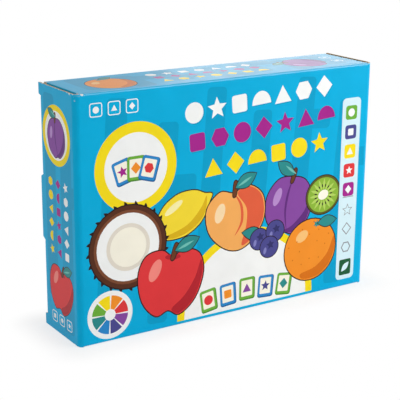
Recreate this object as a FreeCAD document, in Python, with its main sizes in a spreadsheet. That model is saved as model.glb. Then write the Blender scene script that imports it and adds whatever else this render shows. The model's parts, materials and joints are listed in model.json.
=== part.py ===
import FreeCAD, Part
import os

import Sketcher
from FreeCAD import Placement, Rotation, Vector

# A guessing game in its printed board box, in millimetres.
# The box stands on its long side. X runs along the front, Y from the front to the back, Z up.
# The origin is the middle of the footprint, on the surface that the box stands on.
# Both ends open: each end panel swings on the fold at the front and carries a tuck flap.
# Inside stand two wooden racks side by side, on their front rails, with their tiles folded down.

SIZES = {
    # Sleeve of micro-flute board
    "box_width": 370.0,
    "box_height": 260.0,
    "box_depth": 80.0,
    "board": 1.8,
    "crease_radius": 1.5,
    "fold_gap": 0.2,
    # Ears and pull tab on the rear edge of an end panel
    "ear_height": 13.0,
    "ear_bevel": 1.5,
    "tab_height": 65.0,
    "tab_bevel": 3.0,
    # Tuck flap, which leans in from the back panel by an angle in degrees
    "tuck_length": 16.0,
    "tuck_lean": 15.0,
    "tuck_play": 0.4,
    "tuck_relief": 0.6,
    "tuck_slit": 1.0,
    "tuck_corner": 7.0,
    # Dust flap, narrower towards its tip
    "dust_length": 60.0,
    "dust_front_setback": 4.0,
    "dust_rear_setback": 5.2,
    "dust_front_taper": 33.0,
    "dust_rear_taper": 12.0,
    "dust_slit": 0.3,
    # Glue flap inside the back panel
    "glue_width": 28.0,
    "glue_inset": 25.0,
    "glue_taper": 10.0,
    # Wooden rack
    "rack_end_play": 0.5,
    "rack_gap": 1.0,
    "rack_back_play": 0.3,
    "rack_foot_play": 0.2,
    "side_thickness": 8.0,
    "side_height": 24.0,
    "side_corner": 6.0,
    "front_rail_setback": 3.0,
    "front_rail_width": 20.0,
    "front_rail_height": 22.0,
    "back_rail_width": 10.0,
    "back_rail_height": 18.0,
    "rail_rounding": 3.0,
    "slat_thickness": 5.0,
    "slat_width": 22.0,
    "slat_play": 0.4,
    "slat_setback": 0.3,
    # Hinge rod
    "rod_diameter": 3.0,
    "rod_height": 13.0,
    "rod_play": 0.06,
    "rod_seat": 6.0,
    "rod_end_play": 0.3,
    # Flip tile
    "tile_gap": 3.0,
    "tile_thickness": 4.0,
    "tile_heel": 6.0,
    "tile_corner": 4.0,
    "row_gap": 2.0,
    "barrel_diameter": 7.0,
    "barrel_play": 0.3,
    # Cards and leaflet
    "card_margin": 2.5,
    "card_thickness": 0.5,
    "card_recess": 0.6,
    "card_play": 0.3,
    "slot_width": 1.2,
    "slot_depth": 9.0,
    "deck_thickness": 20.0,
    "deck_headroom": 1.5,
    "leaflet_width": 150.0,
    "leaflet_height": 200.0,
    "leaflet_thickness": 1.0,
    "leaflet_play": 0.3,
}
ROWS = 4
COLUMNS = 4
NEAR = 1e-4

doc = FreeCAD.newDocument("GuessingGame")
sheet = doc.addObject("Spreadsheet::Sheet", "Sizes")
for row, (alias, number) in enumerate(SIZES.items(), start=1):
    sheet.set(f"A{row}", alias)
    sheet.set(f"B{row}", str(number))
    sheet.setAlias(f"B{row}", alias)
doc.recompute()


class Size:
    """A length worked out from the sheet: its number, and the expression that keeps it up to date."""

    def __init__(self, number, text):
        self.number = number
        self.text = text

    def joined(self, sign, other, number, flipped=False):
        other_text = other.text if isinstance(other, Size) else str(other)
        first, second = (other_text, self.text) if flipped else (self.text, other_text)
        return Size(number, f"({first} {sign} {second})")

    def __add__(self, other):
        return self.joined("+", other, self.number + plain(other))

    def __sub__(self, other):
        return self.joined("-", other, self.number - plain(other))

    def __mul__(self, other):
        return self.joined("*", other, self.number * plain(other))

    def __rmul__(self, other):
        return self.joined("*", other, plain(other) * self.number, flipped=True)

    def __truediv__(self, other):
        return self.joined("/", other, self.number / plain(other))

    def __neg__(self):
        return -1 * self


def plain(value):
    return value.number if isinstance(value, Size) else value


class Cells:
    """The sheet's cells as sizes, by their aliases."""

    def __getattr__(self, name):
        return Size(float(sheet.get(name)), f"Sizes.{name}")


cell = Cells()
ZERO = Size(0.0, "0")
sub_parts = []


def bind(thing, place, amount):
    thing.setExpression(place, amount.text)


def put(thing, x=ZERO, y=ZERO, z=ZERO):
    bind(thing, "Placement.Base.x", x)
    bind(thing, "Placement.Base.y", y)
    bind(thing, "Placement.Base.z", z)


def keep(thing, label):
    thing.Label = label
    sub_parts.append(thing)
    return thing


# Plates and rails: a drawn outline, given a thickness


def new_sketch(body, role):
    plane = next(f for f in body.Origin.OriginFeatures if f.Role == role)
    sketch = body.newObject("Sketcher::SketchObject", "Outline")
    sketch.AttachmentSupport = (plane, "")
    sketch.MapMode = "FlatFace"
    return sketch


def fix_point(sketch, line, end, u, v):
    for kind, amount in (("DistanceX", u), ("DistanceY", v)):
        number = sketch.addConstraint(Sketcher.Constraint(kind, -1, 1, line, end, amount.number))
        bind(sketch, f"Constraints[{number}]", amount)


def draw_polygon(sketch, points):
    count = len(points)
    corners = [Vector(u.number, v.number, 0) for u, v in points]
    for i in range(count):
        sketch.addGeometry(Part.LineSegment(corners[i], corners[(i + 1) % count]))
    for i in range(count):
        sketch.addConstraint(Sketcher.Constraint("Coincident", i, 2, (i + 1) % count, 1))
    for i, (u, v) in enumerate(points):
        fix_point(sketch, i, 1, u, v)


def draw_circles(sketch, centres, radius):
    for i, (u, v) in enumerate(centres):
        centre = Vector(u.number, v.number, 0)
        sketch.addGeometry(Part.Circle(centre, Vector(0, 0, 1), radius.number))
        fix_point(sketch, i, 3, u, v)
        number = sketch.addConstraint(Sketcher.Constraint("Radius", i, radius.number))
        bind(sketch, f"Constraints[{number}]", radius)


def rectangle(low_u, high_u, low_v, high_v):
    return [(low_u, low_v), (high_u, low_v), (high_u, high_v), (low_u, high_v)]


def plate(label, role, outline, thickness, backwards):
    body = keep(doc.addObject("PartDesign::Body", label), label)
    sketch = new_sketch(body, role)
    draw_polygon(sketch, outline)
    pad = body.newObject("PartDesign::Pad", "Thickness")
    pad.Profile = sketch
    pad.Reversed = backwards
    bind(pad, "Length", thickness)
    doc.recompute()
    return body


def edges_at(shape, **places):
    """Names of the edges whose two ends lie at the given coordinates."""
    names = []
    for i, edge in enumerate(shape.Edges, start=1):
        ends = [v.Point for v in edge.Vertexes]
        if all(abs(getattr(p, axis) - at.number) < NEAR for axis, at in places.items() for p in ends):
            names.append(f"Edge{i}")
    return names


def round_edges(body, radius, *places):
    base = body.Tip
    names = [name for place in places for name in edges_at(base.Shape, **place)]
    fillet = body.newObject("PartDesign::Fillet", "Rounding")
    fillet.Base = (base, names)
    bind(fillet, "Radius", radius)
    doc.recompute()


def cut_in(body, role, depth, backwards, draw):
    before = body.Shape.Volume
    sketch = new_sketch(body, role)
    draw(sketch)
    pocket = body.newObject("PartDesign::Pocket", "Cut")
    pocket.Profile = sketch
    pocket.Reversed = backwards
    bind(pocket, "Length", depth)
    doc.recompute()
    if body.Shape.Volume >= before:
        raise RuntimeError(f"a cut in {body.Label} missed the solid")


# Sleeve: four panels folded from one sheet, closed by the glue flap

half_width = cell.box_width / 2
half_depth = cell.box_depth / 2
inner_half_depth = half_depth - cell.board
end_inner_x = half_width - cell.board
raw_end_x = end_inner_x - cell.fold_gap
notch_x = raw_end_x - cell.board
dust_front_y = -inner_half_depth + cell.dust_front_setback
dust_rear_y = inner_half_depth - cell.dust_rear_setback


def front_panel():
    outline = rectangle(-end_inner_x, end_inner_x, ZERO, cell.box_height)
    body = plate("front_panel", "XZ_Plane", outline, cell.board, True)
    put(body, y=-half_depth)
    round_edges(body, cell.crease_radius, {"y": ZERO, "z": ZERO}, {"y": ZERO, "z": cell.box_height})


def back_panel():
    outline = rectangle(-raw_end_x, raw_end_x, ZERO, cell.box_height)
    body = plate("back_panel", "XZ_Plane", outline, cell.board, False)
    put(body, y=half_depth)
    round_edges(body, cell.crease_radius, {"y": ZERO, "z": ZERO}, {"y": ZERO, "z": cell.box_height})


def cover_panel(label, level, downwards):
    """Top or bottom panel, stepped back at each end where a dust flap folds off it."""
    low = dust_front_y - cell.dust_slit
    high = dust_rear_y + cell.dust_slit
    right = [(raw_end_x, -inner_half_depth), (raw_end_x, low), (notch_x, low), (notch_x, high)]
    right += [(raw_end_x, high), (raw_end_x, inner_half_depth)]
    left = [(-x, y) for x, y in reversed(right)]
    body = plate(label, "XY_Plane", right + left, cell.board, downwards)
    put(body, z=level)


def glue_flap():
    foot = half_width - cell.glue_inset
    tip = foot - cell.glue_taper
    top = cell.board + cell.glue_width
    outline = [(-foot, cell.board), (foot, cell.board), (tip, top), (-tip, top)]
    body = plate("glue_flap", "XZ_Plane", outline, cell.board, False)
    put(body, y=inner_half_depth)


# Ends: an end panel with its tuck flap, and two dust flaps under it

tab_low = (cell.box_height - cell.tab_height) / 2
tab_high = (cell.box_height + cell.tab_height) / 2
tuck_inner_y = inner_half_depth - cell.tuck_play - cell.board
end_rear_y = tuck_inner_y - cell.tuck_relief


def end_panel(side, sign):
    ear_top = cell.box_height - cell.ear_height
    outline = [
        (-half_depth, ZERO),
        (half_depth, ZERO),
        (half_depth, cell.ear_height - cell.ear_bevel),
        (end_rear_y, cell.ear_height),
        (end_rear_y, tab_low - cell.tab_bevel),
        (half_depth, tab_low),
        (half_depth, tab_high),
        (end_rear_y, tab_high + cell.tab_bevel),
        (end_rear_y, ear_top),
        (half_depth, ear_top + cell.ear_bevel),
        (half_depth, cell.box_height),
        (-half_depth, cell.box_height),
    ]
    body = plate(f"{side}_end_panel", "YZ_Plane", outline, cell.board, sign > 0)
    put(body, x=sign * half_width)
    round_edges(body, cell.crease_radius, {"x": ZERO, "y": -half_depth})


def tuck_flap(side, sign):
    """Drawn from its fold inwards, with a notch where the pull tab is cut out of it."""
    inwards = -sign
    low = cell.ear_height + cell.tuck_slit
    high = cell.box_height - cell.ear_height - cell.tuck_slit
    notch_low = tab_low - cell.tab_bevel - cell.tuck_slit
    notch_high = tab_high + cell.tab_bevel + cell.tuck_slit
    notch_depth = half_depth - tuck_inner_y + cell.tuck_slit
    shoulder = cell.tuck_length - cell.tuck_corner
    reach = [
        (ZERO, low),
        (shoulder, low),
        (cell.tuck_length, low + cell.tuck_corner),
        (cell.tuck_length, high - cell.tuck_corner),
        (shoulder, high),
        (ZERO, high),
        (ZERO, notch_high),
        (notch_depth, notch_high),
        (notch_depth, notch_low),
        (ZERO, notch_low),
    ]
    outline = [(inwards * u, z) for u, z in reach]
    body = plate(f"{side}_tuck_flap", "XZ_Plane", outline, cell.board, True)
    round_edges(body, cell.crease_radius, {"x": ZERO, "y": cell.board})
    lean = sign * cell.tuck_lean
    body.Placement = Placement(Vector(), Rotation(Vector(0, 0, 1), lean.number))
    put(body, x=sign * half_width, y=tuck_inner_y)
    bind(body, "Placement.Rotation.Angle", lean)


def dust_flap(side, sign, level, fold_z, tip_z):
    outline = [
        (dust_front_y, fold_z),
        (dust_rear_y, fold_z),
        (dust_rear_y - cell.dust_rear_taper, tip_z),
        (dust_front_y + cell.dust_front_taper, tip_z),
    ]
    body = plate(f"{side}_{level}_dust_flap", "YZ_Plane", outline, cell.board, sign > 0)
    put(body, x=sign * raw_end_x)
    round_edges(body, cell.crease_radius, {"x": ZERO, "z": fold_z})


# Racks: two side boards joined by a front rail, a back rail and four slats

rack_reach_x = half_width - cell.tuck_length - cell.rack_end_play
rack_width = rack_reach_x - cell.rack_gap / 2
rack_inner_width = rack_width - 2 * cell.side_thickness
rack_base_y = inner_half_depth - cell.board - cell.rack_back_play
rack_foot_z = cell.board + cell.rack_foot_play
rack_top_z = cell.box_height - cell.board - cell.deck_headroom - cell.deck_thickness
rack_length = rack_top_z - rack_foot_z
front_rail_z = rack_foot_z + cell.front_rail_setback
back_rail_z = rack_top_z - cell.back_rail_width
rows_low_z = front_rail_z + cell.front_rail_width + cell.row_gap
row_pitch = (back_rail_z - rows_low_z) / ROWS
tile_pitch = rack_inner_width / COLUMNS
tile_reach = row_pitch - cell.tile_heel - cell.row_gap
rod_y = rack_base_y - cell.rod_height
rod_radius = cell.rod_diameter / 2
rod_hole_radius = rod_radius + cell.rod_play
barrel_radius = cell.barrel_diameter / 2
tile_width = tile_pitch - cell.tile_gap
card_width = tile_width - 2 * cell.card_margin
card_height = tile_reach - barrel_radius - 2 * cell.card_margin


def rod_z(number):
    return rows_low_z + tile_reach + number * row_pitch


def side_board(label, inner_x, sign):
    front_y = rack_base_y - cell.side_height
    outline = rectangle(front_y, rack_base_y, rack_foot_z, rack_top_z)
    body = plate(label, "YZ_Plane", outline, cell.side_thickness, sign < 0)
    put(body, x=inner_x)
    corners = [{"y": front_y, "z": rack_foot_z}, {"y": front_y, "z": rack_top_z}]
    round_edges(body, cell.side_corner, *corners)
    holes = [(rod_y, rod_z(number)) for number in range(ROWS)]
    cut_in(body, "YZ_Plane", cell.rod_seat, sign > 0, lambda s: draw_circles(s, holes, rod_hole_radius))


def rail(label, centre_x, foot_z, width, height):
    half = rack_inner_width / 2
    body = plate(label, "XZ_Plane", rectangle(-half, half, ZERO, width), height, True)
    put(body, centre_x, rack_base_y - height, foot_z)
    round_edges(body, cell.rail_rounding, {"y": ZERO, "z": ZERO}, {"y": ZERO, "z": width})
    return body


def card_slot(body):
    half = card_width / 2 + cell.card_play
    low = (cell.front_rail_width - cell.slot_width) / 2
    outline = rectangle(-half, half, low, low + cell.slot_width)
    cut_in(body, "XZ_Plane", cell.slot_depth, False, lambda s: draw_polygon(s, outline))


def block(name, low, extent):
    thing = doc.addObject("Part::Box", name)
    for side, amount in zip(("Length", "Width", "Height"), extent):
        bind(thing, side, amount)
    put(thing, *low)
    return thing


def bar(name, low_x, y, z, radius, length):
    """A round bar along X."""
    thing = doc.addObject("Part::Cylinder", name)
    thing.Placement = Placement(Vector(), Rotation(Vector(0, 1, 0), 90))
    bind(thing, "Radius", radius)
    bind(thing, "Height", length)
    put(thing, low_x, y, z)
    return thing


def group(label, things):
    compound = keep(doc.addObject("Part::Compound", label), label)
    compound.Links = things
    return compound


def slats(label, centre_x):
    near_y = rod_y + cell.tile_thickness / 2 + cell.slat_play
    extent = (rack_inner_width, cell.slat_thickness, cell.slat_width)
    low_x = centre_x - rack_inner_width / 2
    drop = barrel_radius + cell.slat_setback + cell.slat_width
    made = [block("Slat", (low_x, near_y, rod_z(n) - drop), extent) for n in range(ROWS)]
    group(label, made)


def hinge_rods(centres):
    length = rack_inner_width + 2 * (cell.rod_seat - cell.rod_end_play)
    places = [(x - length / 2, rod_z(n)) for x in centres for n in range(ROWS)]
    group("hinge_rods", [bar("Rod", x, rod_y, z, rod_radius, length) for x, z in places])


# Tiles: a plate on a barrel that turns on the rod, with a picture card in its recess


def rounded_plate(low, extent, radius):
    """A block whose two lower edges along Y are rounded."""
    base = block("Plate", low, extent)
    base.recompute()
    corners = edges_at(base.Shape, z=low[2], x=low[0]) + edges_at(base.Shape, z=low[2], x=low[0] + extent[0])
    thing = doc.addObject("Part::Fillet", "RoundedPlate")
    thing.Base = base
    thing.Edges = [(int(name[len("Edge"):]), radius.number, radius.number) for name in corners]
    return thing


def cut_away(base, tool):
    thing = doc.addObject("Part::Cut", "Cut")
    thing.Base = base
    thing.Tool = tool
    return thing


def tile(label, centre_x, axis_z):
    face_y = rod_y - cell.tile_thickness / 2
    low = (centre_x - tile_width / 2, face_y, axis_z - tile_reach)
    extent = (tile_width, cell.tile_thickness, tile_reach + cell.tile_heel)
    barrel_length = tile_pitch - cell.barrel_play
    barrel_x = centre_x - barrel_length / 2
    barrel = bar("Barrel", barrel_x, rod_y, axis_z, barrel_radius, barrel_length)
    whole = doc.addObject("Part::Fuse", "TileBlank")
    whole.Base = rounded_plate(low, extent, cell.tile_corner)
    whole.Tool = barrel
    bore = bar("Bore", barrel_x, rod_y, axis_z, rod_hole_radius, barrel_length)
    floor_y = rod_y + cell.tile_thickness / 2 - cell.card_recess
    recess_x = centre_x - card_width / 2 - cell.card_play
    recess_z = axis_z - tile_reach + cell.card_margin - cell.card_play
    recess_extent = (card_width + 2 * cell.card_play, cell.card_recess, card_height + 2 * cell.card_play)
    recess = block("Recess", (recess_x, floor_y, recess_z), recess_extent)
    card_low = (centre_x - card_width / 2, floor_y, axis_z - tile_reach + cell.card_margin)
    card = block("Card", card_low, (card_width, cell.card_thickness, card_height))
    group(label, [cut_away(cut_away(whole, bore), recess), card])


# Loose pieces: secret cards, spare decks and the leaflet


def secret_card(label, centre_x):
    slot_floor_y = rack_base_y - cell.front_rail_height + cell.slot_depth
    low_y = slot_floor_y - cell.card_play - card_height
    low_z = front_rail_z + (cell.front_rail_width - cell.card_thickness) / 2
    extent = (card_width, card_height, cell.card_thickness)
    keep(block(label, (centre_x - card_width / 2, low_y, low_z), extent), label)


def spare_decks(centres):
    extent = (card_height, card_width, cell.deck_thickness)
    places = [(x - card_height / 2, rack_base_y - card_width, rack_top_z) for x in centres]
    group("spare_card_decks", [block("Deck", place, extent) for place in places])


def leaflet():
    low = (-cell.leaflet_width / 2, -inner_half_depth + cell.leaflet_play, rack_foot_z)
    extent = (cell.leaflet_width, cell.leaflet_thickness, cell.leaflet_height)
    keep(block("rule_leaflet", low, extent), "rule_leaflet")


front_panel()
back_panel()
cover_panel("top_panel", cell.box_height, True)
cover_panel("bottom_panel", ZERO, False)
glue_flap()
for side, sign in (("left", -1), ("right", 1)):
    end_panel(side, sign)
    tuck_flap(side, sign)
    dust_flap(side, sign, "top", cell.box_height, cell.box_height - cell.dust_length)
    dust_flap(side, sign, "bottom", ZERO, cell.dust_length)

rack_offset = (rack_width + cell.rack_gap) / 2
racks = (("green", -rack_offset), ("blue", rack_offset))
for colour, centre_x in racks:
    inner_half = rack_inner_width / 2
    side_board(f"{colour}_rack_left_side", centre_x - inner_half, -1)
    side_board(f"{colour}_rack_right_side", centre_x + inner_half, 1)
    front = rail(
        f"{colour}_rack_front_rail", centre_x, front_rail_z, cell.front_rail_width, cell.front_rail_height
    )
    card_slot(front)
    rail(f"{colour}_rack_back_rail", centre_x, back_rail_z, cell.back_rail_width, cell.back_rail_height)
    slats(f"{colour}_rack_slats", centre_x)
    for row in range(ROWS):
        for column in range(COLUMNS):
            tile_x = centre_x - inner_half + tile_pitch / 2 + column * tile_pitch
            tile(f"{colour}_tile_{row + 1}_{column + 1}", tile_x, rod_z(row))
    secret_card(f"{colour}_secret_card", centre_x)
hinge_rods([x for name, x in racks])
spare_decks([x for name, x in racks])
leaflet()

doc.recompute()
failed = [o.Label for o in doc.Objects if "Invalid" in o.State or "Error" in o.State]
failed += [o.Label for o in sub_parts if o.Shape.isNull() or not o.Shape.isValid()]
if failed:
    raise RuntimeError(f"not built: {failed}")
os.makedirs("parts", exist_ok=True)
for thing in sub_parts:
    thing.Shape.exportStep(f"parts/{thing.Label}.step")
print(f"{len(sub_parts)} sub-parts written")
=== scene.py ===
import json
import math

import bmesh
import bpy
from mathutils import Matrix, Vector
from mathutils.geometry import delaunay_2d_cdt


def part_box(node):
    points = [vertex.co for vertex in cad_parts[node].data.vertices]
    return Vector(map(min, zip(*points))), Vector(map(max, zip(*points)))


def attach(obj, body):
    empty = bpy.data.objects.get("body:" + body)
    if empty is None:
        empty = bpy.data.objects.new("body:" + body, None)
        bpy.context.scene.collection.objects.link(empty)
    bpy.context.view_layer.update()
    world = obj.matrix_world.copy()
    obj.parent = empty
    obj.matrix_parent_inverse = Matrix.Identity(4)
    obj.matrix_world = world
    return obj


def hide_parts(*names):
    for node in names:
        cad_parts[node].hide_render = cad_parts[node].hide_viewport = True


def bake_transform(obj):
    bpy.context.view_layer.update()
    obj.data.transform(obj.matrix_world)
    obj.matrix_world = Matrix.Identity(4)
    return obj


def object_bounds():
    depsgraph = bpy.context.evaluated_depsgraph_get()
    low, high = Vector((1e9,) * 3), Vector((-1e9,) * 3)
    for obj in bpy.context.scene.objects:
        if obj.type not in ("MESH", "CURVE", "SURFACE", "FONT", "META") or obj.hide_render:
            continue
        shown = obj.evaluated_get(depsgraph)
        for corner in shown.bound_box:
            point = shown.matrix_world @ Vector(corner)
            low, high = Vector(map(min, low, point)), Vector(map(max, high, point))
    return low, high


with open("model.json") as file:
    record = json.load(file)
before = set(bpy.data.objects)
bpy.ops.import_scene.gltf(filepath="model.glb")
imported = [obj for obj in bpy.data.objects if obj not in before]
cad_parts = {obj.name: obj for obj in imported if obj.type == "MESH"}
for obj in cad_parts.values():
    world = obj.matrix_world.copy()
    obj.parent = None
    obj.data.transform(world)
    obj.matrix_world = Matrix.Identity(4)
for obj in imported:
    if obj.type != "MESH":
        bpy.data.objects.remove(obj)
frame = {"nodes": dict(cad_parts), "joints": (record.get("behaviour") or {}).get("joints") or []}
cad_low, cad_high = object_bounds()
MM = 0.001

# Printed sleeve
# Front, top, back and bottom are one sheet of micro-flute board, printed and gloss-laminated outside and bare
# kraft inside. It is creased, folded round, and closed by a flap glued to the inside of the back panel.

half_width, half_depth, height = cad_high
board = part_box("front_panel")[1].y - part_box("front_panel")[0].y
# The sheet stops short of the end panels, so that a dark slit shows beside each of them.
end_slit = 4.0 * MM
raw_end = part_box("top_panel")[1].x - end_slit
fold_radius = 2.2 * MM
soft_fold = 6.0 * MM
flute_pitch = 3.3 * MM
glue_flap_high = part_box("glue_flap")[1]
glue_taper = 10 * MM
dust_low, dust_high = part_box("right_top_dust_flap")
dust_slit = 0.3 * MM
dust_notch = dust_low.x - end_slit

INKS = {
    "sky": "#00AEDD", "sky shade": "#009FCB", "white": "#F6F7F5", "cream": "#FBF6E4", "veil": "#D6EEF5",
    "yellow": "#F8DE1B", "magenta": "#A6268C", "line": "#2B1D1C", "grey": "#8C9296", "dark green": "#1F5A38",
    "red": "#E03A3D", "red shade": "#B4252F", "red light": "#F58A80",
    "orange": "#F4922B", "orange shade": "#D87217", "orange light": "#FBC47A",
    "lemon": "#F6DA37", "lemon shade": "#DDB41D", "lemon light": "#FDF3AE",
    "plum": "#874A9F", "plum shade": "#62307B", "plum light": "#B78CCB",
    "peach": "#F6AE5E", "peach blush": "#E2603F", "peach light": "#FCDDAE",
    "shell": "#57301F", "shell light": "#7C4A31", "hollow": "#E4DCCD",
    "olive": "#5E5B24", "kiwi": "#8CB53B", "kiwi light": "#B5D262", "seed": "#27241D",
    "indigo": "#4C4B8D", "indigo shade": "#363568", "indigo light": "#8281C0",
    "leaf": "#2E8C8A", "leaf light": "#6FBFB4", "stem": "#6A3C24",
    "green": "#6DAF3D", "green shade": "#4B892B", "blue": "#2D88CA", "blue shade": "#1C5E98",
}


def linear(code):
    """A screen colour as the linear values that a shader takes."""
    parts = [int(code[i:i + 2], 16) / 255 for i in (1, 3, 5)]
    return [c / 12.92 if c <= 0.04045 else ((c + 0.055) / 1.055) ** 2.4 for c in parts] + [1.0]


# A print is a list of (ink, outline) in millimetres, and a later outline lies over an earlier one.


def turned(points, x=0, y=0, size=1, angle=0):
    c, s = size * math.cos(math.radians(angle)), size * math.sin(math.radians(angle))
    return [(x + a * c - b * s, y + a * s + b * c) for a, b in points]


def placed(layers, x, y, size=1, angle=0):
    return [(ink, turned(points, x, y, size, angle)) for ink, points in layers]


def anticlockwise(points):
    area = sum(a[0] * b[1] - b[0] * a[1] for a, b in zip(points, points[1:] + points[:1]))
    return points if area > 0 else points[::-1]


def oval(x, y, wide, high, angle=0, steps=36, sweep=360):
    turns = [math.radians(sweep * k / steps) for k in range(steps + (sweep < 360))]
    return turned([(wide * math.cos(t), high * math.sin(t)) for t in turns], x, y, 1, angle)


def slab(x, y, wide, high, corner, angle=0, steps=4):
    """A rectangle with round corners."""
    points = []
    for quarter, (right, up) in enumerate(((1, 1), (-1, 1), (-1, -1), (1, -1))):
        middle = right * (wide / 2 - corner), up * (high / 2 - corner)
        points += oval(*middle, corner, corner, 90 * quarter, steps, 90)
    return turned(points, x, y, 1, angle)


def star(x, y, radius, tips=5, waist=0.45, angle=90):
    reach = [radius * (1, waist)[k % 2] for k in range(2 * tips)]
    turns = [math.radians(180 * k / tips) for k in range(2 * tips)]
    return turned([(r * math.cos(t), r * math.sin(t)) for r, t in zip(reach, turns)], x, y, 1, angle)


def leaf(x, y, length, width, angle, steps=8):
    upper = [(length * k / steps, width / 2 * math.sin(math.pi * k / steps)) for k in range(steps + 1)]
    return turned(upper + [(a, -b) for a, b in upper[-2:0:-1]], x, y, 1, angle)


def smooth(points, steps=5):
    """A closed curve through a few points."""
    curve = []
    for i in range(len(points)):
        around = [points[(i + k - 1) % len(points)] for k in range(4)]
        for t in [k / steps for k in range(steps)]:
            curve.append([
                b + 0.5 * t * (c - a + t * (2 * a - 5 * b + 4 * c - d + t * (3 * b - a - 3 * c + d)))
                for a, b, c, d in zip(*around)])
    return curve


def mirrored(half):
    return half + [(-x, y) for x, y in reversed(half) if x]


def lined(ink, points, width=1.3):
    """A shape with a dark line round it."""
    points = anticlockwise(points)
    swollen = []
    for (x, y), before, after in zip(points, points[-1:] + points[:-1], points[1:] + points[:1]):
        along = math.dist(before, after)
        out = (after[1] - before[1]) / along, (before[0] - after[0]) / along
        swollen.append((x + width * out[0], y + width * out[1]))
    return [("line", swollen), (ink, points)]


def sprig(x, y, angle):
    """A short stem with one leaf."""
    stem = smooth([(x - 2, y - 4), (x + 2, y - 4), (x + 5, y + 10), (x + 1, y + 11)])
    layers = lined("stem", stem, 1) + lined("leaf", leaf(x + 2, y + 4, 30, 15, angle), 1)
    return layers + [("leaf light", leaf(x + 5, y + 5, 20, 3, angle))]


def apple():
    body = smooth(mirrored([(0, 25), (-13, 32), (-31, 27), (-38, 7), (-31, -20), (-14, -36), (0, -31)]))
    shade = smooth([(34, 20), (29, 2), (18, -17), (4, -30), (14, -35), (30, -20), (37, 6)])
    shine = [("red light", oval(-19, 12, 6, 12, -20)), ("red shade", oval(0, 25, 9, 3))]
    return lined("red", body) + [("red shade", shade)] + shine + sprig(0, 27, 25)


def orange():
    shade = smooth([(31, 17), (26, -3), (12, -20), (-8, -29), (-2, -35), (18, -30), (32, -14), (35, 4)])
    pores = [turned([(7.5 * math.sqrt(k), 0)], angle=137.5 * k)[0] for k in range(2, 20)]
    layers = lined("orange", oval(0, 0, 36, 36))
    layers += [("orange shade", shade), ("orange light", oval(-15, 15, 9, 6, 40))]
    layers += [("orange shade", oval(x, y, 0.9, 0.9, steps=8)) for x, y in pores]
    return layers + [("leaf", star(3, 30, 5, 6))] + lined("leaf", leaf(4, 31, 27, 13, 12), 1)


def lemon():
    body = smooth([
        (43, 1), (35, 7), (25, 17), (6, 24), (-14, 22), (-29, 13), (-37, 6), (-44, 0), (-37, -7), (-26, -17),
        (-6, -24), (14, -22), (28, -14), (36, -6)])
    shade = smooth([
        (36, 3), (24, -6), (2, -14), (-22, -12), (-32, -9), (-24, -17), (-6, -22), (14, -20), (28, -12)])
    return lined("lemon", body) + [("lemon shade", shade), ("lemon light", oval(-6, 13, 13, 4, 8))]


def plum():
    body = smooth(mirrored([(0, 33), (-20, 29), (-33, 8), (-29, -19), (-11, -34), (0, -33)]))
    shade = smooth([(31, 14), (24, -8), (8, -26), (-4, -31), (10, -33), (28, -18), (32, 4)])
    seam = smooth([(1, 32), (-5, 12), (-5, -10), (2, -32), (-2.5, -10), (-2, 12)])
    shine = [("plum light", oval(-18, 9, 5, 11, -16))]
    return lined("plum", body) + [("plum shade", shade), ("plum shade", seam)] + shine + sprig(0, 31, 150)


def peach():
    body = smooth(mirrored([(0, 28), (-18, 33), (-36, 18), (-36, -8), (-20, -29), (0, -37)]))
    blush = smooth([(4, 27), (20, 31), (35, 17), (35, -8), (20, -27), (4, -33), (12, -12), (14, 8)])
    seam = smooth([(0, 27), (6, 12), (5, -6), (-4, -20), (8, -7), (9, 13)])
    shine = [("peach light", oval(-20, 10, 6, 11, -24))]
    return lined("peach", body) + [("peach blush", blush), ("peach blush", seam)] + shine + sprig(0, 29, 20)


def coconut():
    tips = [turned([(38, 0)], angle=15 * k)[0] for k in range(24)]
    fibres = [("line", leaf(*tip, 9, 4, 15 * k + 25)) for k, tip in enumerate(tips)]
    rings = [("shell", 42), ("shell light", 37.5), ("white", 34.5), ("hollow", 24), ("cream", 20)]
    layers = fibres + lined("shell", oval(0, 0, 42, 42))
    return layers + [(ink, oval(0, 0, radius, radius)) for ink, radius in rings]


def kiwi():
    layers = lined("olive", oval(0, 0, 30, 28)) + [("kiwi", oval(0, 0, 27, 25))]
    for angle in range(0, 360, 24):
        ray = turned([(7, 0)], angle=angle)[0]
        layers.append(("kiwi light", leaf(*ray, 17, 4, angle, 6)))
    layers.append(("cream", oval(0, 0, 9, 7)))
    for angle in range(12, 360, 24):
        seed = turned([(13.5, 0)], angle=angle)[0]
        layers.append(("seed", oval(*seed, 2.4, 1.1, angle, 10)))
    return layers


def blueberries():
    layers = lined("leaf", leaf(-4, 6, 30, 14, 160), 1)
    for x, y in ((-11, 2), (11, 5), (1, -11)):
        layers += lined("indigo", oval(x, y, 12, 12, steps=24), 1)
        layers.append(("indigo shade", star(x + 2, y + 2, 5.5, 5, 0.5)))
        layers.append(("indigo light", oval(x - 6, y - 3, 2, 4, -20, 12)))
    return layers


def simple_shape(kind, x, y, radius):
    """One of seven plain figures, by number."""
    figures = (
        oval(x, y, radius, radius, steps=28),
        slab(x, y, 1.7 * radius, 1.7 * radius, radius / 4),
        oval(x, y - radius / 5, 1.15 * radius, 1.15 * radius, 90, 3),
        star(x, y, 1.1 * radius),
        oval(x, y, radius, 1.1 * radius, 0, 4),
        oval(x, y, radius, radius, 0, 6),
        oval(x, y - radius / 2, 1.1 * radius, 1.3 * radius, 0, 18, 180))
    return figures[kind % len(figures)]


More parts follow.
